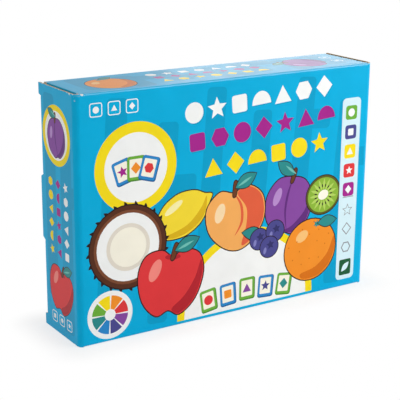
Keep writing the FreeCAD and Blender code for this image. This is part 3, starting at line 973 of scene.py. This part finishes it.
def drawn_steel():
    material, wire, feed = new_finish("drawn_steel", 0.5)
    place = wire.add("TexCoord", out="Object")
    scratches = place.noise(3200.0, 3.0, (0.03, 1.0, 1.0))
    dull = place.noise(60.0, 3.0).step(0.42, 0.66)
    feed("Base Color", dull.mix(linear("#C9CACB"), linear("#9FA1A3")))
    feed("Metallic", 1 - 0.1 * dull)
    feed("Roughness", 0.2 + 0.14 * scratches + 0.14 * dull)
    feed("Normal", (scratches * 1.2e-5).bump())
    return material


repaint("hinge_rods", drawn_steel())

# Flip tiles
# Each tile is a painted wooden plate with a round barrel along its upper edge, bored for the rod. A picture
# card is pressed into a shallow recess in one face, and the other face has a sunk panel for the thumb.

tile_plate, tile_thickness, tile_edge = 35 * MM, 4 * MM, 0.5 * MM
barrel_radius, bore_radius, barrel_edge = 3.5 * MM, 1.6 * MM, 0.4 * MM
tile_heel, tile_corner, tile_shoulder = 6 * MM, 4 * MM, 1 * MM
card_wide, card_high, card_thickness = 30 * MM, 33.4 * MM, 0.5 * MM
recess_margin, recess_depth, recess_play = 2.5 * MM, 0.6 * MM, 0.2 * MM
thumb_depth, thumb_edge = 0.5 * MM, 0.5 * MM


def rounded_loop(low, high, upper, lower, steps=5):
    """A rectangle from low to high, with one radius at its upper and another at its lower corners."""
    (left, bottom), (right, top) = low, high
    centres = (
        (right - upper, top - upper, upper), (left + upper, top - upper, upper),
        (left + lower, bottom + lower, lower), (right - lower, bottom + lower, lower))
    loop = []
    for quarter, (x, z, radius) in enumerate(centres):
        loop += oval(x, z, radius, radius, 90 * quarter, steps, 90)
    return loop


def loft(mesh, loops, closed=False):
    """Skins a row of loops of points. An open row is capped at both ends."""
    rings = [[mesh.verts.new(point) for point in loop] for loop in loops]
    for before, after in zip(rings, rings[1:] + rings[:1] if closed else rings[1:]):
        for k in range(len(before)):
            j = (k + 1) % len(before)
            mesh.faces.new((before[k], before[j], after[j], after[k]))
    if not closed:
        mesh.faces.new(rings[0][::-1])
        mesh.faces.new(rings[-1])


def tile_plate_loops(middle, axis_y, low_z, high_z):
    """Outlines of the plate from the thumb panel, round the edges, to the floor of the card recess."""
    def plate(inset, y):
        half = tile_plate / 2 - inset
        low, high = (middle - half, low_z + inset), (middle + half, high_z - inset)
        return [(x, y, z) for x, z in rounded_loop(low, high, tile_shoulder, tile_corner - inset)]

    def window(swell, y):
        low = (middle - card_wide / 2 - swell, low_z + recess_margin - swell)
        high = (middle + card_wide / 2 + swell, low_z + recess_margin + card_high + swell)
        return [(x, y, z) for x, z in rounded_loop(low, high, tile_shoulder, tile_shoulder)]
    front, back = axis_y - tile_thickness / 2, axis_y + tile_thickness / 2
    soft = 0.3 * tile_edge
    return [
        window(-thumb_edge, front + thumb_depth), window(0, front), plate(tile_edge, front),
        plate(soft, front + soft), plate(0, front + tile_edge), plate(0, back - tile_edge),
        plate(soft, back - soft), plate(tile_edge, back), window(recess_play, back),
        window(recess_play, back - recess_depth)]


def barrel_loops(low_x, high_x, y, z, sides=32):
    """Rings of the barrel, from one mouth of its bore over the outside to the other."""
    rim = barrel_radius - barrel_edge
    profile = [(low_x, bore_radius), (low_x, rim), (low_x + barrel_edge, barrel_radius)]
    profile += [(high_x - barrel_edge, barrel_radius), (high_x, rim), (high_x, bore_radius)]
    turns = [2 * math.pi * k / sides for k in range(sides)]
    return [[(x, y + r * math.cos(t), z + r * math.sin(t)) for t in turns] for x, r in profile]


def painted_wood(name, code):
    """A thin coat of colour on wood: the grain shows as streaks and ridges, and the paint has worn specks."""
    material, wire, feed = new_finish(name, 0.4)
    place = wire.add("TexCoord", out="Object")
    grain = place.noise(420.0, 4.0, (1.0, 1.0, 0.07))
    cloud = place.noise(55.0, 3.0)
    bare = place.noise(1900.0, 2.0, (1.0, 1.0, 0.3)).step(0.74, 0.8)
    paint = (0.76 + 0.34 * grain + 0.16 * cloud).times(linear(code)[:3])
    feed("Base Color", (bare * 0.6).mix(paint, linear("#D9B27C")))
    feed("Roughness", 0.36 + 0.16 * cloud + 0.1 * grain)
    feed("Normal", (grain * 5e-5 - bare * 2e-5).bump())
    return material


def coated_card():
    """Printed card with a thin matt coat, and tiny fibres in it."""
    material, wire, feed = new_finish("coated_card", 0.35)
    ink, rest = attribute(wire, "ink", "Color"), attribute(wire, "rest", "Vector")
    fibres = rest.noise(1800.0, 4.0)
    feed("Base Color", (0.93 + 0.13 * fibres).times(ink))
    feed("Roughness", 0.38 + 0.2 * rest.noise(140.0, 3.0))
    feed("Normal", (fibres * 1.5e-5).bump())
    return material


COATED_CARD = coated_card()
TILE_PAINT = {colour: painted_wood(f"{colour}_paint", INKS[colour]) for colour in ("green", "blue")}
card_fruits = (apple, orange, lemon, plum, peach, coconut, kiwi, blueberries)
border_inks = ("yellow", "veil", "peach light", "kiwi light")


def card_art(number, border=None):
    """One fruit inside a thin border, with a plain figure in two corners."""
    wide, high = card_wide / MM, card_high / MM
    series, kind = divmod(number, len(card_fruits))
    ink = border or border_inks[series % len(border_inks)]
    layers = [(ink, slab(0, 0, wide - 1.6, high - 1.6, 1.6)), ("cream", slab(0, 0, wide - 4, high - 4, 1))]
    layers += placed(card_fruits[kind](), 0, 0, 0.27, 12 * (number % 3 - 1))
    for side in (-1, 1):
        layers.append(("magenta", simple_shape(series + 2, side * 10.4, -side * 12.2, 1.5)))
    return layers


def card_outline(corner=1.0):
    return slab(0, 0, card_wide / MM, card_high / MM, corner)


def flip_tile(name, colour, number):
    low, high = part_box(name)
    middle, axis_y, axis_z = (low.x + high.x) / 2, (low.y + high.y) / 2, high.z - tile_heel
    mesh = bmesh.new()
    loft(mesh, tile_plate_loops(middle, axis_y, low.z, high.z))
    loft(mesh, barrel_loops(low.x, high.x, axis_y, axis_z), True)
    bmesh.ops.recalc_face_normals(mesh, faces=mesh.faces)
    tile = new_piece(f"{name}_wood", mesh, (TILE_PAINT[colour],))
    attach(tile, name)
    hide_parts(name)
    card_face = axis_y + tile_thickness / 2 - recess_depth + card_thickness
    card_middle = low.z + recess_margin + card_high / 2

    def place(point, depth):
        return Vector((middle + point.x * MM, card_face - depth, card_middle - point.y * MM))
    card_mesh = bmesh.new()
    card_sheet = Sheet(card_outline(), card_art(number), (), "cream")
    card_sheet.lay(card_mesh, place, 0, (0, card_thickness), (0, 0, 0))
    card = new_piece(f"{name}_picture", card_mesh, (COATED_CARD,))
    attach(card, name)


tiles_in_row = 4
first_picture = {"green": 0, "blue": 3}
for name in frame["nodes"]:
    if "_tile_" in name:
        colour, _, row, column = name.split("_")
        flip_tile(name, colour, first_picture[colour] + tiles_in_row * int(row) + int(column))

# Secret cards
# The card that the other player has to guess stands in the slot of each front rail. It is cut from yellow
# card, printed on both faces with a picture like those on the tiles.


def secret_card(colour, number):
    name = f"{colour}_secret_card"
    low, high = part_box(name)
    middle = (low + high) / 2

    def place(point, depth):
        return Vector((middle.x + point.x * MM, middle.y - point.y * MM, low.z + depth))
    mesh = bmesh.new()
    sheet = Sheet(card_outline(0.5), card_art(number, "yellow"), (), "yellow")
    sheet.lay(mesh, place, 0, (0, high.z - low.z), (0, 0, 0))
    card = new_piece(f"{colour}_secret_picture", mesh, (COATED_CARD,))
    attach(card, name)
    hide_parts(name)


secret_card("green", 2)
secret_card("blue", 5)

# Spare card decks
# Two decks of spare picture cards lie behind the back rails. Each is a stack of cut cards, squared up by
# hand, so their edges stand slightly proud of each other.

deck_cards, deck_seed, deck_shift = 40, 4, 0.15 * MM


def card_stack():
    """Geometry nodes for a stack of cards along Z from the floor up, each shifted a little."""
    tree, wire, given = node_group("card_stack", {
        "Size": "Vector", "Count": "Int", "Shift": "Float", "Seed": "Int", "Card": "Material"})
    pitch = wire.vector(0.0, 0.0, given["Size"].part(2))
    line = wire.add("GeometryNodeMeshLine", {"Count": given["Count"], "Offset": pitch})
    card = wire.add("GeometryNodeMeshCube", {"Size": given["Size"]})
    limits = {0: (-1.0, -1.0, 0.0), 1: (1.0, 1.0, 0.0), "Seed": given["Seed"]}
    shift = wire.add("FunctionNodeRandomValue", limits, {"data_type": "FLOAT_VECTOR"})
    moved = wire.add("GeometryNodeSetPosition", {"Geometry": line, "Offset": given["Shift"].times(shift)})
    stack = wire.add("GeometryNodeInstanceOnPoints", {"Points": moved, "Instance": card})
    close_group(wire, stack, given["Card"])
    return tree


def cut_card():
    """White card with a grey core: layers show as fine lines on the cut edges, and the faces are smooth."""
    material, wire, feed = new_finish("cut_card", 0.3)
    place = wire.add("TexCoord", out="Object")
    layers = place.noise(9000.0, 1.0, (0.02, 0.02, 1.0))
    grime = place.noise(110.0, 3.0)
    white = grime.step(0.3, 0.7).mix(linear("#EDE9DE"), linear("#F4F1E8"))
    feed("Base Color", (0.82 + 0.3 * layers).least(1.0).times(white))
    feed("Roughness", 0.5 + 0.2 * grime)
    feed("Normal", (layers * 2e-5).bump())
    return material


def card_decks():
    """Both decks, one behind each rack."""
    low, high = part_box("spare_card_decks")
    thickness = (high.z - low.z) / deck_cards
    size = (card_high - 2 * deck_shift, card_wide - 2 * deck_shift, thickness)
    finish, tree = cut_card(), card_stack()
    mesh = bmesh.new()
    mesh.verts.layers.float_vector.new("rest")
    for number, x in enumerate((low.x + card_high / 2, high.x - card_high / 2)):
        cards = grown(tree, {
            "Size": size, "Count": deck_cards, "Shift": deck_shift, "Seed": deck_seed + number,
            "Card": finish})
        add_mesh(mesh, cards, Matrix.Translation((x, (low.y + high.y) / 2, low.z + thickness / 2)), 0)
    decks = new_piece("card_decks", mesh, (finish,))
    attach(decks, "box")
    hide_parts("spare_card_decks")


card_decks()

# Rule leaflet
# One sheet of thin uncoated paper, printed with small diagrams, folded in three and slipped in behind the
# front panel. The folds are pressed flat by hand, so the leaves stand slightly open.

leaf_thickness, leaflet_fold, leaf_inset = 0.1 * MM, 0.18 * MM, 0.6 * MM
diagram_wide = 140


def diagram_art(wide, high):
    """Plain diagrams on a leaf, without words: figures on a pale band, rows of small tiles and a dash."""
    layers = [("veil", slab(0, high * 0.38, wide * 0.8, high * 0.12, 3))]
    layers += shape_row("magenta", (0, 3, 1, 5), 0, high * 0.38, 20, 6)
    for row in range(3):
        for column in range(4):
            colour = ("green", "blue")[(row + column) % 2]
            spot = 30 * (column - 1.5), 34 - 40 * row
            layers += picture_tile(colour, row + 2 * column, "orange", *spot, 1.1)
    layers.append(("grey", leaf(-40, -high * 0.42, 80, 6, 0)))
    return layers


def uncoated_paper():
    material, wire, feed = new_finish("uncoated_paper", 0.2)
    ink, rest = attribute(wire, "ink", "Color"), attribute(wire, "rest", "Vector")
    fibres, crease = rest.noise(1400.0, 5.0), rest.noise(24.0, 3.0)
    feed("Base Color", (0.9 + 0.1 * fibres + 0.06 * crease).times(ink))
    feed("Roughness", 0.72 + 0.2 * fibres)
    feed("Normal", (fibres * 2e-5 + crease * 4e-4).bump())
    return material


def leaflet():
    low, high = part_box("rule_leaflet")
    outer, between, inner = high.y, (low.y + high.y) / 2 + leaf_thickness / 2, low.y + leaf_thickness
    left, right = low.x + leaf_inset, high.x - leaf_thickness
    route = [(low.x, outer), (right, outer), (right, between), (left, between), (left, inner)]
    route.append((high.x - leaf_inset, inner))
    line = FoldedLine(route, leaflet_fold)
    length, tall = line.length / MM, (high.z - low.z) / MM
    mesh = bmesh.new()

    def place(point, depth):
        return Vector((*line.at(-point.x * MM, depth), low.z + point.y * MM))
    folds = [((-s / MM, 0), (-s / MM, tall)) for s in line.bend_spots(4)]
    art = []
    for middle in (line.middles[0], line.middles[4]):
        art += placed(diagram_art(diagram_wide, tall), -middle / MM, tall / 2)
    sheet = Sheet([(-length, 0), (0, 0), (0, tall), (-length, tall)], art, folds, "cream")
    sheet.lay(mesh, place, 0, (0, leaf_thickness), (0, 0, 0))
    piece = new_piece("folded_leaflet", mesh, (uncoated_paper(),))
    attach(piece, "box")
    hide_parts("rule_leaflet")


leaflet()

# Studio
# A white sweep with a broad soft box in front, to the right and above, a weaker one at the left, and one
# behind that skims the top. The camera stands where the photographer stood, a little above and to the left.

floor_radius, shadow_reach, shadow_share = 6.0, 0.045, 0.3


def background_rays(wire):
    """1 for rays that see the background: from the camera, or off and through shiny pieces."""
    seen = wire.add("LightPath", out="Is Camera Ray").most(wire.add("LightPath", out="Is Glossy Ray"))
    return seen.most(wire.add("LightPath", out="Is Transmission Ray"))


floor_mesh = bmesh.new()
bmesh.ops.create_circle(floor_mesh, cap_ends=True, segments=64, radius=floor_radius)
paper = bpy.data.materials.new("white_sweep")
paper.use_nodes = True
paper.node_tree.nodes.clear()
wire = Wire(paper.node_tree)
place = wire.add("TexCoord", out="Object")
beside = (wire.maths("ABSOLUTE", place.part(0)) - half_width).most(0.0)
before = (wire.maths("ABSOLUTE", place.part(1)) - half_depth).most(0.0)
away = wire.maths("SQRT", beside * beside + before * before).step(0.0, shadow_reach)
clear = 1 - shadow_share * (1 - away)
lit = wire.add("BsdfDiffuse", {"Color": linear("#FFFFFF")})
bright = wire.add("Emission", {"Color": linear("#FFFFFF"), "Strength": 1.0})
surface = wire.add("MixShader", {0: clear * background_rays(wire), 1: lit, 2: bright})
wire.add("OutputMaterial", {"Surface": surface})
floor = new_piece("floor", floor_mesh, (paper,))

world = bpy.data.worlds.new("white_room")
world.use_nodes = True
world.node_tree.nodes.clear()
wire = Wire(world.node_tree)
room = wire.add("Background", {"Color": linear("#FFFFFF"), "Strength": 0.38})
backdrop = wire.add("Background", {"Color": linear("#FFFFFF"), "Strength": 1.0})
surface = wire.add("MixShader", {0: background_rays(wire), 1: room, 2: backdrop})
wire.add("OutputWorld", {"Surface": surface})
bpy.context.scene.world = world


def soft_box(name, place, size, watts):
    """A square lamp that faces the middle of the box."""
    lamp = bpy.data.lights.new(name, "AREA")
    lamp.shape, lamp.size, lamp.energy = "SQUARE", size, watts
    stand = bpy.data.objects.new(name, lamp)
    stand.location = place
    stand.rotation_euler = (Vector((0, 0, height / 2)) - Vector(place)).to_track_quat("-Z", "Y").to_euler()
    bpy.context.scene.collection.objects.link(stand)


soft_box("key_soft_box", (0.95, -0.85, 0.75), 1.2, 14)
soft_box("left_soft_box", (-1.8, -0.4, 0.9), 1.8, 8)
soft_box("back_soft_box", (1.7, 1.5, 0.9), 1.6, 13)

photo_side, focal_pixels, sensor = 400, 1136.3, 36.0
camera_data = bpy.data.cameras.new("camera")
camera_data.sensor_width = sensor
camera_data.lens = focal_pixels / photo_side * sensor
camera = bpy.data.objects.new("camera", camera_data)
camera.location = (-0.6558, -0.9978, 0.4681)
heading, dip, roll = [math.radians(a) for a in (32.643, 16.335, 0.409)]
aim = Matrix.Rotation(-heading, 3, "Z") @ Matrix.Rotation(math.pi / 2 - dip, 3, "X")
aim = aim @ Matrix.Rotation(roll, 3, "Z")
camera.rotation_euler = aim.to_euler()
bpy.context.scene.collection.objects.link(camera)
bpy.context.scene.camera = camera
bpy.context.scene.view_settings.view_transform = "Standard"
